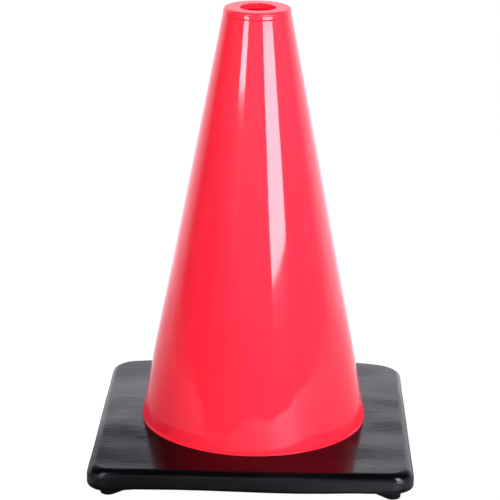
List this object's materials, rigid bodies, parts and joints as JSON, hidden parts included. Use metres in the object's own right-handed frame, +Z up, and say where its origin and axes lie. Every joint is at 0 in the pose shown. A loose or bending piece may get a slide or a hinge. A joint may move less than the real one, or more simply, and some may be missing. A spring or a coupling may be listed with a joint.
{
  "type": "traffic cone",
  "caption": "Small red PVC traffic cone with a capped top and lifting hole, locked by a hidden root flange into a square black PVC base with rounded edges and corner feet.",
  "frame": {"origin": "on the floor, under the centre of the base: the middle of the bottom of the object's box", "axes": "+Z up along the cone's axis; X and Y parallel to the base's sides, -Y towards the front of the picture"},
  "size_m": [0.212, 0.212, 0.305],
  "materials": {
    "red_pvc": "glossy moulded flexible PVC, fluorescent red, with a faint flow pattern",
    "black_pvc": "semi-gloss moulded recycled PVC, black, with fine flow streaks",
    "black_pvc_foot": "dull black moulded PVC, scuffed where it meets the floor"
  },
  "bodies": {
    "root": {"cone_shell": "red_pvc", "base": "black_pvc", "foot_front_left": "black_pvc_foot", "foot_front_right": "black_pvc_foot", "foot_back_right": "black_pvc_foot", "foot_back_left": "black_pvc_foot"}
  },
  "joints": []
}
